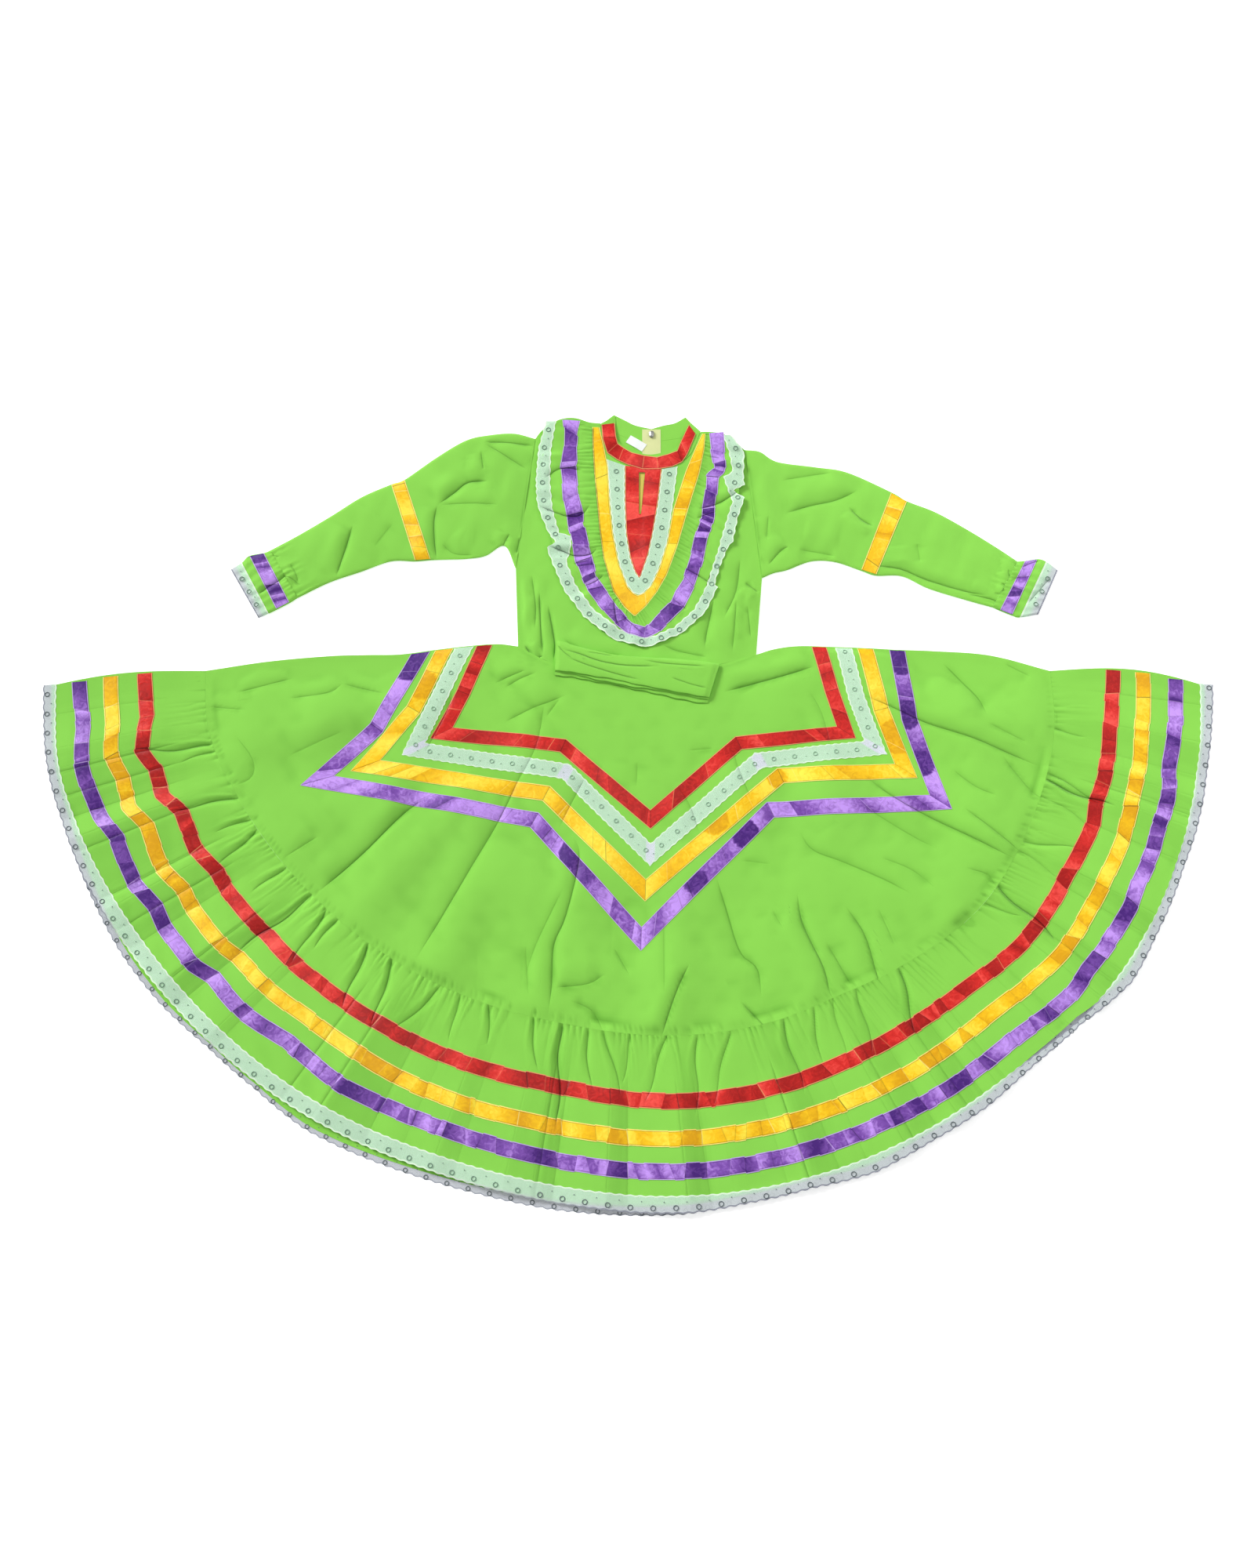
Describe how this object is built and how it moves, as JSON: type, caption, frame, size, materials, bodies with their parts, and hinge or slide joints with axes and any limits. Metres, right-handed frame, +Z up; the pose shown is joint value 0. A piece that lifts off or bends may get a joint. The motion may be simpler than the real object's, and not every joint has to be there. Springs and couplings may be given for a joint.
{
  "type": "folklorico dress laid flat",
  "caption": "Child's folklorico dress laid out flat, with a full gathered skirt, ribbon and lace zigzag trims, a ruffled bib, long sleeves and a folded sash at the waist.",
  "frame": {"origin": "on the surface that the dress lies on, at the centre of the skirt's circle, under the back of the bodice", "axes": "+Z up from the surface, +Y towards the neck, +X towards the sleeve on the right of someone who looks down at the front"},
  "size_m": [1.692, 1.1845, 0.0129],
  "materials": {
    "cotton_green": "plain-woven cotton, matt",
    "satin_red": "satin ribbon, glossy along the weave",
    "satin_yellow": "satin ribbon, glossy along the weave",
    "satin_violet": "satin ribbon, glossy along the weave",
    "lace_white": "white net lace with ring eyelets",
    "zip_tape": "woven tape, matt",
    "label_white": "blank woven label",
    "slider_metal": "dull grey enamel"
  },
  "bodies": {
    "root": {"bodice_back_left": "cotton_green", "bodice_back_right": "cotton_green", "bodice_front": "cotton_green", "collar_front": "cotton_green", "collar_back_left": "cotton_green", "collar_back_right": "cotton_green", "collar_ribbon": "satin_red", "zip_tape": "zip_tape", "zip_slider": "slider_metal", "neck_label": "label_white", "bib_panel": "satin_red", "bib_lace": "lace_white", "bib_yellow_ribbon": "satin_yellow", "bib_ruffle": "cotton_green", "bib_violet_ribbon": "satin_violet", "bib_lace_edge": "lace_white", "sleeve_left": "cotton_green", "sleeve_band_left": "satin_yellow", "frill_left": "cotton_green", "frill_ribbon_left": "satin_violet", "frill_lace_left": "lace_white", "sleeve_right": "cotton_green", "sleeve_band_right": "satin_yellow", "frill_right": "cotton_green", "frill_ribbon_right": "satin_violet", "frill_lace_right": "lace_white", "skirt_back": "cotton_green", "skirt_front": "cotton_green", "star_red_ribbon": "satin_red", "star_lace": "lace_white", "star_yellow_ribbon": "satin_yellow", "star_violet_ribbon": "satin_violet", "flounce_back": "cotton_green", "flounce_front": "cotton_green", "flounce_red_ribbon": "satin_red", "flounce_yellow_ribbon": "satin_yellow", "flounce_violet_ribbon": "satin_violet", "hem_lace_front": "lace_white", "hem_lace_back": "lace_white", "sash": "cotton_green"}
  },
  "joints": []
}
